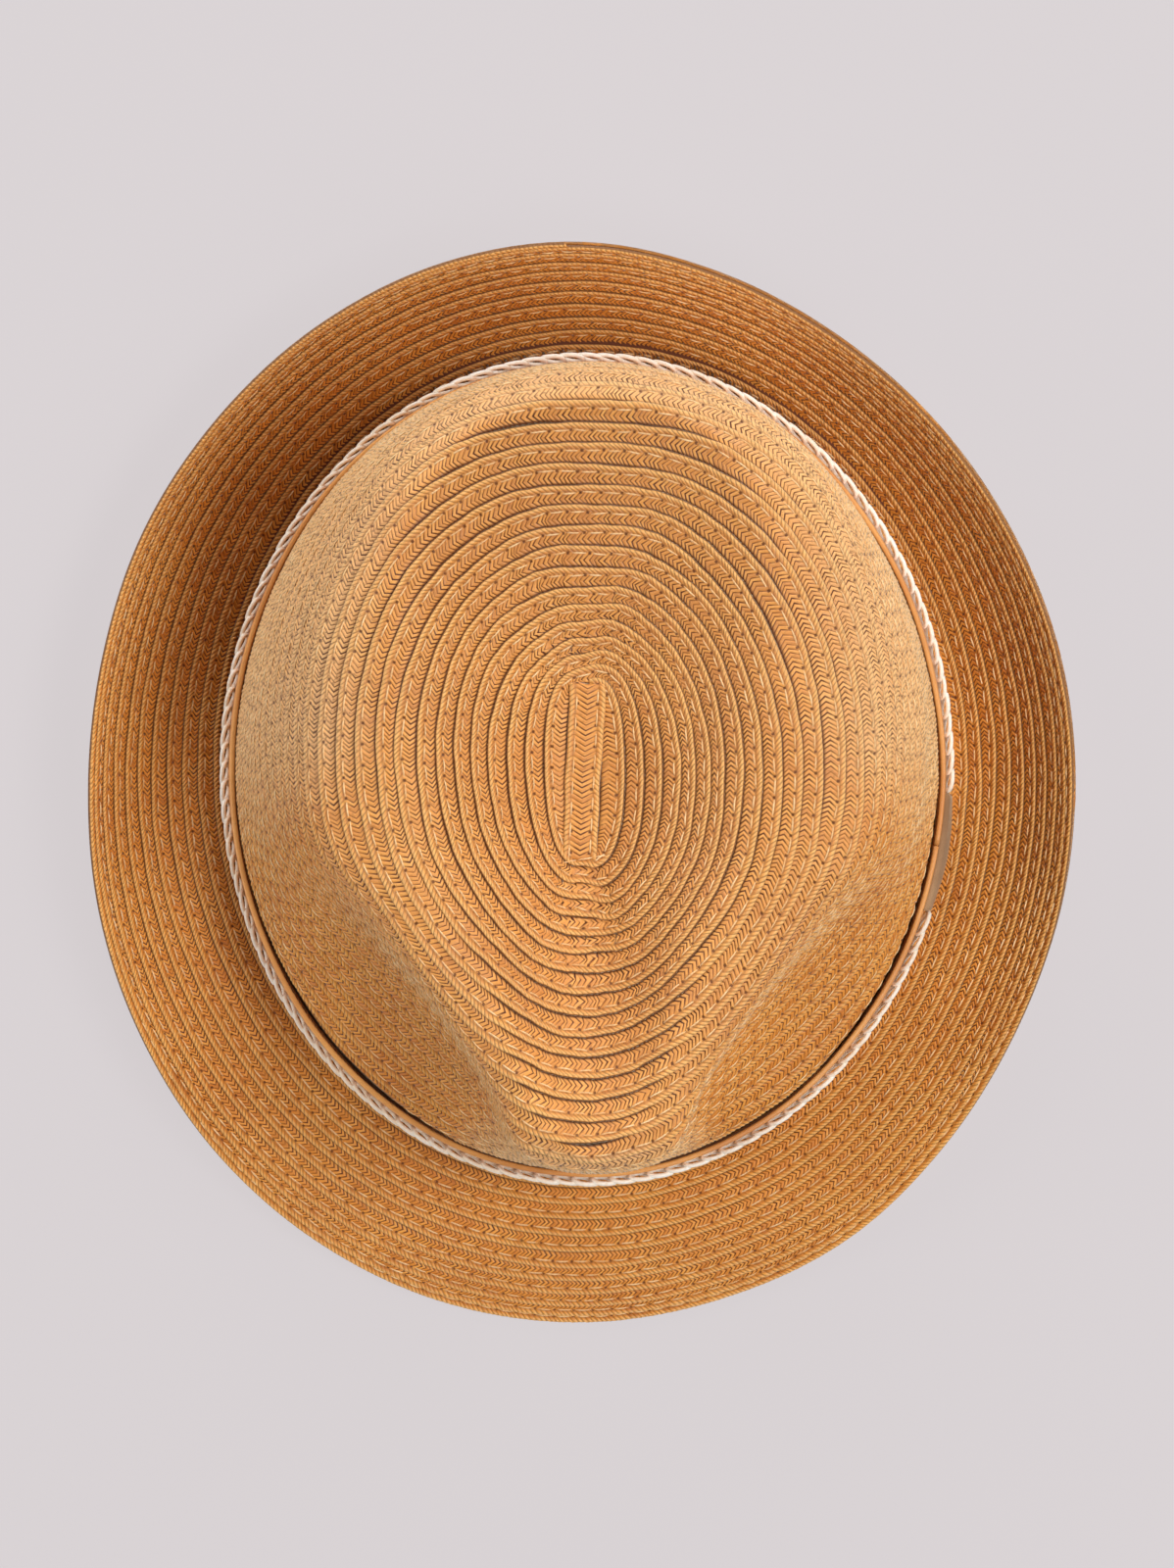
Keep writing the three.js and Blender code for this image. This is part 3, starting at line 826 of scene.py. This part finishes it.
# the inside and underside: the backs of the same rows, one closed shell under the braid
inside = {
    "stations": 192,
    # share of a row from the step of one winding to the next, depth under the frame's surface
    "steps": ((0.0, 1.55), (0.08, 2.0), (0.5, 1.9), (0.94, 1.5)),
    "before": 3,          # windings laid before the first row, and past the last, to close both ends
    "after": 1,
    "stepAt": 0.55,
    "rimDepth": 1.7,
    "coverDepth": 0.78,
    "coverRows": 26,
    "edgeInset": 0.3,
    "weaveWidth": 4.7,
    "coverWeave": 3.0,
}


def insideShell():
    stations = inside["stations"]
    steps = np.array(inside["steps"])
    perRow = len(steps)
    windings = int(lastLevel + inside["before"] + inside["after"])
    winding = np.repeat(np.arange(windings), perRow) + np.tile(steps[:, 0], windings)
    depth = np.tile(steps[:, 1], windings)
    phase = np.arange(stations) / stations
    turn = patchSide - 360.0 * phase
    lines = len(winding)
    top = lastLevel - inside["edgeInset"]
    level = np.clip(winding[:, None] + phase - inside["before"] + inside["stepAt"], axisLevel, top)
    turns = np.broadcast_to(turn, level.shape)
    base = readGrid(grid, turns, level)
    up = readGrid(normals, turns, level)
    atAxis = np.isclose(level, axisLevel)
    up[atAxis] = (0, 0, 1)
    depths = np.where(atAxis | np.isclose(level, top), inside["rimDepth"], depth[:, None])
    below = base - up * depths[..., None]
    below[..., 2] = np.maximum(0.0, below[..., 2])
    run = np.zeros((lines, stations))
    run[:, 1:] = np.cumsum(np.linalg.norm(np.diff(base, axis=1), axis=-1), axis=1)
    acrossRow = (winding % 1.0)[:, None] * inside["weaveWidth"]
    uvBelow = np.stack([run / straw["strandPitch"], acrossRow + 0 * run], -1)
    # the shell's outer side, hidden under the braid
    coverLevel = np.linspace(axisLevel, top, inside["coverRows"])[:, None] + 0 * turn
    turns = np.broadcast_to(turn, coverLevel.shape)
    coverUp = readGrid(normals, turns, coverLevel)
    coverUp[0] = (0, 0, 1)
    cover = readGrid(grid, turns, coverLevel) - coverUp * inside["coverDepth"]
    points = np.concatenate([below.reshape(-1, 3), cover.reshape(-1, 3)])
    uvCover = np.full((cover.shape[0] * stations, 2), inside["coverWeave"])
    uv = np.concatenate([uvBelow.reshape(-1, 2), uvCover])
    runs = np.concatenate([run.ravel(), np.zeros(len(uvCover))])
    # each winding runs on into the next where its stations come round
    underFaces = gridFaces(stations, lines - perRow, wrapAcross=True)[:, [0, 3, 2, 1]]
    underFaces[stations - 1::stations, 2:] += perRow * stations
    start = lines * stations
    coverFaces = gridFaces(stations, inside["coverRows"], wrapAcross=True, offset=start)
    # the last line below that reached the edge at every station closes the rim
    rimTop = start + (inside["coverRows"] - 1) * stations + np.arange(stations)
    rimBelow = (lines - perRow - 1) * stations + np.arange(stations)
    rimFaces = np.stack([np.roll(rimTop, -1), np.roll(rimBelow, -1), rimBelow, rimTop], -1)
    return points, np.concatenate([underFaces, coverFaces, rimFaces]), uv, runs


def makeInside():
    points, faces, uv, runs = insideShell()
    # the clamped ends of the winding fall on one another: weld them and drop what has no area
    index, inverse = np.unique(np.round(points, 4), axis=0, return_index=True, return_inverse=True)[1:]
    corners = {4: [], 3: []}
    cornerUv = {4: [], 3: []}
    for face, old in zip(inverse.ravel()[faces], faces):
        wanted = face != face[[1, 2, 3, 0]]
        count = wanted.sum()
        if count > 2 and len(set(face[wanted])) == count:
            corners[count].append(face[wanted])
            cornerUv[count].append(uv[old[wanted]])
    flatUv = np.concatenate([np.ravel(c) for c in cornerUv.values() if c])
    piece = makeMesh("braid_inside", points[index], [np.array(c) for c in corners.values() if c], strawInside)
    piece.data.uv_layers.new(name="weave").data.foreach_set("uv", flatUv)
    addAttribute(piece, "run", "FLOAT", runs[index])
    return piece


dress(makeInside(), ["braid_body"])
print("inside shell")


# stitches along every row
stitching = {
    "length": 3.7,
    "width": 0.36,
    "lengthSpread": 0.12,
    "sideSpread": 0.14,
    "turnSpread": 0.07,
    "lift": 0.3,
    "seed": 3,
    "mostCover": 0.02,    # how far the band may reach over a stitch that is shown
    # the strip's own two lines: from its middle, start, height over the strip
    "stripLines": ((-2.35, 2.6, 0.75), (2.45, 4.2, 0.75)),
    "stripEnd": 2.0,
    # the line that closes the strip's folded end: from, to, start, pitch, height
    "fold": ((-5.2, -17.2), (10.3, -14.6), 2.0, 4.1, 0.62),
}


def paintThread(name, light, dark, twistScale, bumpDepth, *looks):
    material, tree, shader = newMaterial(name, *looks)
    objectAt = objectPlace(tree)
    slow = noise(tree, objectAt, 60.0, 2.0)
    fine = noise(tree, objectAt, twistScale, 3.0)
    mixed = maths(tree, "MULTIPLY_ADD", slow, 0.6, times(tree, fine, 0.5))
    colour = mixColour(tree, ramp(tree, mixed, 0.35, 0.75), dark, light)
    paint(tree, shader, colour, 0.5, bumpDepth, fine)
    return material


thread = paintThread("cream thread", linear(250, 220, 168), linear(226, 170, 104), 1500.0, 0.0001,
                     0.6, 0.4, 0.3, 0.4)


def stitchTree(values):
    tree, inputs = newTree("row stitches", values)
    body = addNode(tree, "GeometryNodeMeshCylinder", {"fill_type": "TRIANGLE_FAN"}, Vertices=4,
                   Radius=1.0, Depth=1.0, **{"Side Segments": 3})
    # thin, sunk ends: the thread dives into the straw
    place = addNode(tree, "GeometryNodeInputPosition")[0]
    x, y, z = addNode(tree, "ShaderNodeSeparateXYZ", i0=place)
    far = maths(tree, "ABSOLUTE", z)
    taper = ramp(tree, far, 0.17, 0.5, 1.0, 0.45)
    dip = ramp(tree, far, 0.17, 0.5, 0.0, -1.3)
    shaped = addNode(tree, "ShaderNodeCombineXYZ", i0=maths(tree, "MULTIPLY_ADD", x, taper, dip),
                     i1=times(tree, y, taper), i2=z)
    dash = addNode(tree, "GeometryNodeSetPosition", Geometry=body["Mesh"], Position=shaped[0])
    low = maths(tree, "SUBTRACT", 1.0, inputs["lengthSpread"])
    high = maths(tree, "ADD", 1.0, inputs["lengthSpread"])
    vary = addNode(tree, "FunctionNodeRandomValue", {"data_type": "FLOAT"}, i2=low, i3=high,
                   Seed=inputs["seed"])
    half = times(tree, inputs["threadWidth"], 0.55)
    size = addNode(tree, "ShaderNodeCombineXYZ", i0=half, i1=half,
                   i2=times(tree, inputs["stitchLength"], vary[1]))
    return spread(tree, inputs, dash[0], "ZX", size[0], thread)


def pointPiece(name, points, along, up):
    piece = addObject(name, newMesh(name, points))
    addAttribute(piece, "along", "FLOAT_VECTOR", along)
    addAttribute(piece, "up", "FLOAT_VECTOR", up)
    return piece


def stripStitches():
    # points and ways of the stitches on the start strip
    front, way, side, length = stripLine()
    end = length - stitching["stripEnd"]
    lines = [(front + side * offset, way, np.arange(start, end, straw["stitchPitch"]), height)
             for offset, start, height in stitching["stripLines"]]
    foldFrom, foldTo, start, pitch, height = stitching["fold"]
    foldWay = np.array(foldTo) - foldFrom
    length = np.linalg.norm(foldWay)
    lines.append((np.array(foldFrom), foldWay / length, np.arange(start, length, pitch), height))
    points = [(*(start + way * at), strip["z"] + height) for start, way, run, height in lines for at in run]
    ways = [(*way, 0.0) for start, way, run, height in lines for at in run]
    return points, ways


def rowStitches():
    count = int(pathRun[-1] / straw["stitchPitch"]) - 1
    run = (np.arange(count) + 1.0) * straw["stitchPitch"]
    jitter = np.random.default_rng(stitching["seed"])
    spreadTo = stitching["sideSpread"]
    turn, level, along = beside(run, straw["stitchAt"] + jitter.uniform(-spreadTo, spreadTo, count))
    shown = bandCover(turn, level) < stitching["mostCover"]
    up = readGrid(normals, turn, level)
    base = readGrid(grid, turn, level) + up * stitching["lift"]
    spreadTo = stitching["turnSpread"]
    along = along + np.cross(up, along) * jitter.uniform(-spreadTo, spreadTo, count)[:, None]
    extra, ways = stripStitches()
    points = np.concatenate([base[shown], extra])
    up = np.concatenate([up[shown], np.tile((0.0, 0.0, 1.0), (len(extra), 1))])
    piece = pointPiece("row_stitches", points, np.concatenate([along[shown], ways]), up)
    values = {"stitchLength": stitching["length"] * mm, "threadWidth": stitching["width"] * mm,
              "lengthSpread": stitching["lengthSpread"], "seed": stitching["seed"]}
    bakeTree(piece, stitchTree(values), values)
    print("stitches", len(points))
    return piece


dress(rowStitches(), ["braid_body"])


# the leather band
leatherBand = {
    "inner": 0.3,
    "thickness": 1.3,
    "joint": 78.75,
    "jointHalf": 0.1,
    "stations": 300,
    "edgeRound": 0.45,
    "lift": 0.5,           # how far the upper edge stands off the crown, and how that varies
    "liftWaves": ((0.12, 5, np.radians(40)), (0.08, 13, 0)),
}


def paintLeather(name, light, dark, creaseDepth, grainScale, *looks):
    material, tree, shader = newMaterial(name, *looks)
    objectAt = objectPlace(tree)
    cloud = noise(tree, objectAt, 30.0, 4.0)
    colour = mixColour(tree, ramp(tree, cloud, 0.3, 0.7), dark, light)
    grain = addNode(tree, "ShaderNodeTexVoronoi", {"feature": "DISTANCE_TO_EDGE"}, Vector=objectAt,
                    Scale=grainScale)
    pores = ramp(tree, grain["Distance"], 0.0, 0.12)
    colour = mixColour(tree, times(tree, maths(tree, "SUBTRACT", 1.0, pores), 0.22), colour, dark)
    height = maths(tree, "MULTIPLY_ADD", noise(tree, objectAt, 2400.0, 2.0), 0.4, pores)
    paint(tree, shader, colour, 0.35, creaseDepth, height)
    return material


leather = paintLeather("tan leather", linear(240, 172, 94), linear(206, 132, 64), 0.0001, 900.0,
                       0.42, 0.5, 0.08, 0.5)


def roundedPlate(low, high, inner, outer, roundness):
    # rise (mm over the foot) and out (mm) round a strip with rounded corners, seen end on
    corners = ((high - roundness, outer - roundness, 0), (high - roundness, inner + roundness, 90),
               (low + roundness, inner + roundness, 180), (low + roundness, outer - roundness, 270))
    shape = []
    for rise, out, angle in corners:
        for step in range(4):
            a = np.radians(angle + step * 30)
            shape.append((rise + roundness * np.sin(a), out + roundness * np.cos(a)))
    return np.array(shape)


def makeBand():
    inner = leatherBand["inner"]
    shape = roundedPlate(0.0, hat["bandHeight"], inner, inner + leatherBand["thickness"],
                         leatherBand["edgeRound"])
    turn = np.linspace(leatherBand["joint"] + leatherBand["jointHalf"],
                       leatherBand["joint"] + 360 - leatherBand["jointHalf"], leatherBand["stations"])
    rise = shape[:, 0][None, :] / hat["bandHeight"] + 0 * turn[:, None]
    off = leatherBand["lift"] + ripple(np.radians(turn), leatherBand["liftWaves"])
    lift = off[:, None] * np.clip(rise, 0, 1) ** 3
    points = overWall(np.broadcast_to(turn[:, None], rise.shape), rise, shape[:, 1][None, :] + lift)
    faces = [f[:, ::-1] for f in tubeFaces(len(shape), len(turn))]
    return makeMesh("leather_band", points.reshape(-1, 3), faces, leather)


dress(makeBand(), ["hat_band"])
print("leather band")


# the looped chain round the band
chain = {
    "fromTurn": 86.65,
    "toTurn": 429.05,
    "rise": 12.7,
    "pitch": 4.62,
    "endGap": 2.6,
    "spareEnds": 4.0,
    "loopLength": 5.9,
    "loopOut": 1.75,
    "loopHeight": 2.9,
    "strand": 1.1,
    "out": 2.75,
    "yaw": 9.0,
    "samples": 4000,
    "lookAhead": 0.3,
    "seed": 5,
}
cord = paintThread("cream cord", linear(255, 252, 243), linear(243, 226, 200), 1100.0, 0.0003,
                   0.7, 0.3, 0.5, 0.5)


def chainTree(values):
    tree, inputs = newTree("chain loops", values)
    ring = addNode(tree, "GeometryNodeCurvePrimitiveCircle", {"mode": "RADIUS"}, Resolution=16, Radius=0.5)
    place = addNode(tree, "GeometryNodeInputPosition")[0]
    x, y = addNode(tree, "ShaderNodeSeparateXYZ", i0=place)[:2]
    # a loop along local x, narrower at one end, leaning out (local y) as it rises (local z)
    y = times(tree, y, maths(tree, "MULTIPLY_ADD", x, -0.5, 0.85))
    shaped = addNode(tree, "ShaderNodeCombineXYZ", i0=times(tree, x, inputs["loopLength"]),
                     i1=times(tree, y, inputs["loopOut"]), i2=times(tree, y, inputs["loopHeight"]))
    bent = addNode(tree, "GeometryNodeSetPosition", Geometry=ring["Curve"], Position=shaped[0])
    section = addNode(tree, "GeometryNodeCurvePrimitiveCircle", {"mode": "RADIUS"}, Resolution=6,
                      Radius=times(tree, inputs["strandWidth"], 0.5))
    loop = addNode(tree, "GeometryNodeCurveToMesh", Curve=bent[0], i1=section["Curve"])
    vary = addNode(tree, "FunctionNodeRandomValue", {"data_type": "FLOAT_VECTOR"}, i0=(0.95, 0.92, 0.92),
                   i1=(1.05, 1.08, 1.08), Seed=inputs["seed"])
    return spread(tree, inputs, loop[0], "XZ", vary[0], cord)


def makeChain():
    turn = np.linspace(chain["fromTurn"], chain["toTurn"], chain["samples"])
    rise = chain["rise"] / hat["bandHeight"]
    run = runAlong(overWall(turn, rise, chain["out"]))
    count = int(round((run[-1] - chain["spareEnds"]) / chain["pitch"]))
    turns = np.interp(np.linspace(chain["endGap"], run[-1] - chain["endGap"], count + 1), run, turn)
    step = chain["lookAhead"]
    points, ahead, behind = (overWall(turns + by, rise, chain["out"]) for by in (0, step, -step))
    along = unit(ahead - behind)
    wall = unit(overWall(turns, 1.0, 0.0) - overWall(turns, 0.0, 0.0))
    yaw = np.radians(chain["yaw"])
    yawed = along * np.cos(yaw) + unit(np.cross(along, wall)) * np.sin(yaw)
    piece = pointPiece("chain_loops", points, yawed, wall)
    values = {"loopLength": chain["loopLength"] * mm, "loopOut": -chain["loopOut"] * mm,
              "loopHeight": chain["loopHeight"] * mm, "strandWidth": chain["strand"] * mm,
              "seed": chain["seed"]}
    bakeTree(piece, chainTree(values), values)
    print("chain loops", len(points))
    return piece


dress(makeChain(), ["chain_trim"])


# the patch over the band's joint
patch = {
    "fromTurn": 69.4,
    "toTurn": 86.3,
    "low": 1.44,
    "high": 22.3,
    "inner": 1.9,
    "thickness": 1.5,
    "bulge": 0.9,
    "backBulge": 0.7,     # share of the bulge that the back has too
    "columns": 40,
    "rows": 26,
    "size": (26.0, 20.9),
    "edgeRound": 0.9,
    "edgeShare": 0.45,    # of the thickness is left at the rounded edge
}
suede = paintLeather("brown suede", linear(190, 152, 114), linear(138, 100, 68), 0.00015, 1400.0,
                     0.85, 0.25, 0.5, 0.4, linear(230, 212, 184))


def makePatch():
    columns = patch["columns"]
    across = patch["rows"]
    turn = np.linspace(patch["fromTurn"], patch["toTurn"], columns)
    high = np.linspace(patch["low"], patch["high"], across)
    alongShare = np.linspace(0, 1, columns)[:, None]
    upShare = np.linspace(0, 1, across)[None, :]
    bulge = patch["bulge"] * np.sin(np.pi * alongShare) * np.sin(np.pi * upShare)
    near = np.minimum(np.minimum(alongShare, 1 - alongShare) * patch["size"][0],
                      np.minimum(upShare, 1 - upShare) * patch["size"][1])
    soft = np.sqrt(1 - (1 - np.clip(near / patch["edgeRound"], 0, 1)) ** 2)
    rise = np.broadcast_to(high[None, :] / hat["bandHeight"], (columns, across))
    turns = np.broadcast_to(turn[:, None], rise.shape)
    thick = patch["thickness"] * (patch["edgeShare"] + (1 - patch["edgeShare"]) * soft)
    front = overWall(turns, rise, patch["inner"] + bulge + thick)
    back = overWall(turns, rise, patch["inner"] + bulge * patch["backBulge"])
    points = np.concatenate([front.reshape(-1, 3), back.reshape(-1, 3)])
    side = columns * across
    # the front's outline, whose edges the rim joins to the back's
    index = np.arange(side).reshape(columns, across)
    ring = np.concatenate([index[0], index[1:, -1], index[-1, -2::-1], index[-2:0:-1, 0]])
    after = np.roll(ring, -1)
    rim = np.stack([ring, after, side + after, side + ring], -1)
    faces = [gridFaces(across, columns)[:, ::-1], gridFaces(across, columns, offset=side), rim]
    return makeMesh("suede_patch", points, [np.concatenate(faces)], suede)


dress(makePatch(), ["side_patch"])
print("suede patch")


# floor, light and camera
studio = {
    "floor": linear(214, 208, 210),
    "floorShade": 0.1,
    "floorGlow": 0.92,
    "floorHalf": 3000,
    "worldColour": (0.98, 0.97, 0.97, 1),
    "world": 0.03,
    "aim": (0.0, 0.0, 0.05),
    "away": 2.0,
    "lightColour": (1.0, 0.985, 0.97),
    "lights": (
        # name, degrees round from the patch side towards the back, degrees up, size, power
        ("back low", 90, 14, 1.2, 15.5),
        ("left low", 190, 14, 1.0, 9.0),
        ("back right", 45, 32, 0.9, 6.5),
        ("back", 90, 32, 0.9, 7.0),
        ("back left", 135, 32, 0.9, 6.5),
        ("left", 180, 32, 0.9, 7.0),
        ("right high", 0, 55, 0.9, 20.0),
        ("front right high", -45, 55, 0.9, 14.5),
    ),
    "cameraAt": (1.28, 0.99, 933),
    "lens": 85,
    "sensor": 36,
}


def makeStudio():
    material, tree, shader = newMaterial("pale floor", 0.9, 0.1)
    shader.inputs["Base Color"].default_value = [studio["floorShade"] * v for v in studio["floor"][:3]] + [1]
    shader.inputs["Emission Color"].default_value = studio["floor"]
    shader.inputs["Emission Strength"].default_value = studio["floorGlow"]
    corners = np.array([(-1, -1, 0), (1, -1, 0), (1, 1, 0), (-1, 1, 0)]) * studio["floorHalf"]
    makeMesh("floor", corners, [np.array([(0, 1, 2, 3)])], material)
    world = bpy.data.worlds.new("studio")
    world.use_nodes = True
    world.node_tree.nodes["Background"].inputs[0].default_value = studio["worldColour"]
    world.node_tree.nodes["Background"].inputs[1].default_value = studio["world"]
    bpy.context.scene.world = world
    aim = Vector(studio["aim"])
    for name, around, up, size, power in studio["lights"]:
        light = bpy.data.lights.new(name, "AREA")
        light.shape = "DISK"
        light.size = size
        light.energy = power
        light.color = studio["lightColour"]
        lamp = addObject(name, light)
        around = np.radians(around)
        up = np.radians(up)
        away = Vector((np.cos(up) * np.cos(around), np.cos(up) * np.sin(around), np.sin(up)))
        lamp.location = aim + away * studio["away"]
        lamp.rotation_euler = (-away).to_track_quat("-Z", "Y").to_euler()
    camera = bpy.data.cameras.new("camera")
    camera.sensor_fit = "VERTICAL"
    camera.sensor_height = studio["sensor"]
    camera.lens = studio["lens"]
    camera.clip_start = 0.01
    view = addObject("camera", camera)
    view.location = Vector(studio["cameraAt"]) * mm
    bpy.context.scene.camera = view


makeStudio()
bpy.context.scene.view_settings.view_transform = "Standard"
print("studio ready")
